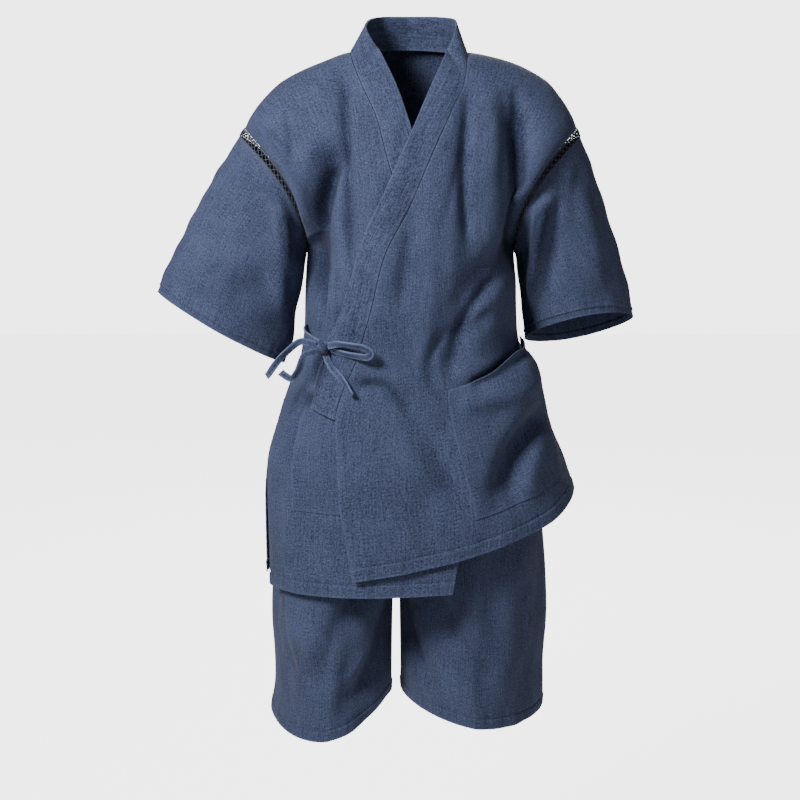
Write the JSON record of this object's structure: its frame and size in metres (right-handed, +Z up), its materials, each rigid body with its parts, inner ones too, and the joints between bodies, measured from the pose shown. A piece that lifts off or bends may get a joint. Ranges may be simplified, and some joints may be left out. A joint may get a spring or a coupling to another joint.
{
  "type": "jinbei set",
  "caption": "Worn jinbei set: crossed jacket with short wide sleeves on openwork tape, patch pockets and a side bow, with knee-length trousers.",
  "frame": {"origin": "midway between the two points where the jacket lies on the wearer's shoulders beside the neck", "axes": "+Z up, the front of the set faces -Y, +X is the wearer's left"},
  "size_m": [0.6795, 0.3023, 1.0122],
  "materials": {
    "front_left": "indigo chambray denim",
    "front_right": "indigo chambray denim",
    "back": "indigo chambray denim",
    "collar": "indigo chambray denim, doubled",
    "sleeve_right": "indigo chambray denim",
    "sleeve_left": "indigo chambray denim",
    "lace_right_front": "dark openwork tape",
    "lace_right_back": "dark openwork tape",
    "lace_left_front": "dark openwork tape",
    "lace_left_back": "dark openwork tape",
    "pocket_left": "indigo chambray denim",
    "pocket_right": "indigo chambray denim",
    "trouser_right": "indigo chambray denim",
    "trouser_left": "indigo chambray denim",
    "waistband": "indigo chambray denim, doubled",
    "tie_knot": "indigo chambray denim strap",
    "tie_tail_left": "indigo chambray denim strap",
    "tie_tail_right": "indigo chambray denim strap",
    "tie_loop_left": "indigo chambray denim strap",
    "tie_loop_right": "indigo chambray denim strap",
    "tie_side": "indigo chambray denim strap"
  },
  "bodies": {
    "root": {"front_left": "front_left", "front_right": "front_right", "back": "back", "collar": "collar", "sleeve_right": "sleeve_right", "sleeve_left": "sleeve_left", "lace_right_front": "lace_right_front", "lace_right_back": "lace_right_back", "lace_left_front": "lace_left_front", "lace_left_back": "lace_left_back", "pocket_left": "pocket_left", "pocket_right": "pocket_right", "trouser_right": "trouser_right", "trouser_left": "trouser_left", "waistband": "waistband", "tie_knot": "tie_knot", "tie_tail_left": "tie_tail_left", "tie_tail_right": "tie_tail_right", "tie_loop_left": "tie_loop_left", "tie_loop_right": "tie_loop_right", "tie_side": "tie_side"}
  },
  "joints": []
}
